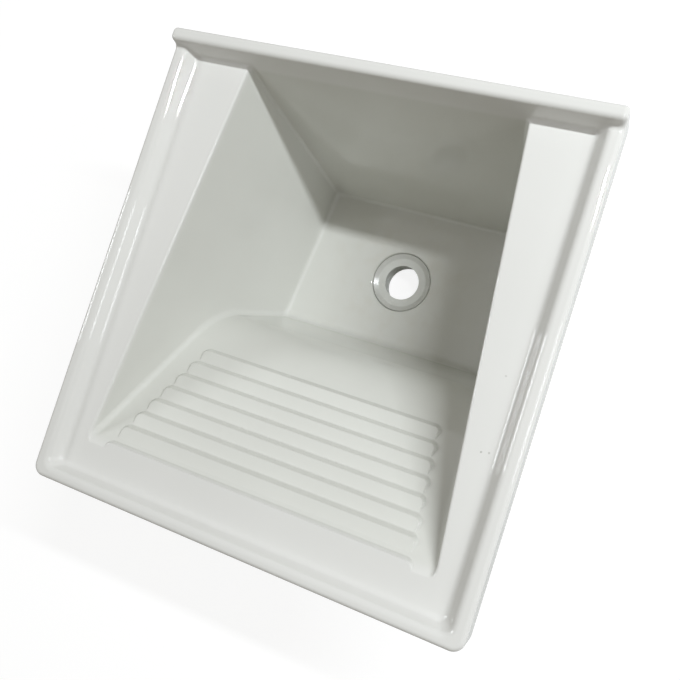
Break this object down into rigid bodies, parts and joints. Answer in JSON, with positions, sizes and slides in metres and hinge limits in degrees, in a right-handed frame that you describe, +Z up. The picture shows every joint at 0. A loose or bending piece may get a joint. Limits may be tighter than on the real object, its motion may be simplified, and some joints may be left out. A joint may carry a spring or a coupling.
{
  "type": "laundry tub",
  "caption": "Moulded laundry tub with a stepped washboard slope, raised rim and back ledge, sunk deck and an open flanged waste fitting.",
  "frame": {"origin": "centre of the lip's lower edge, the flat ring by which the tub hangs in its frame or counter", "axes": "+Z up, +Y towards the wall and the raised back ledge, -Y towards the washboard and the user, +X to the right"},
  "size_m": [0.5, 0.5214, 0.3535],
  "materials": {
    "gelcoat": "polished white gelcoat",
    "waste_plastic": "moulded white plastic",
    "seal_rubber": "matte grey rubber",
    "ring_plastic": "natural nylon",
    "nut_plastic": "moulded white plastic"
  },
  "bodies": {
    "root": {"tub_shell": "gelcoat", "waste_body": "waste_plastic", "flange_seal": "seal_rubber", "under_washer": "seal_rubber", "slip_ring": "ring_plastic", "back_nut": "nut_plastic"}
  },
  "joints": []
}
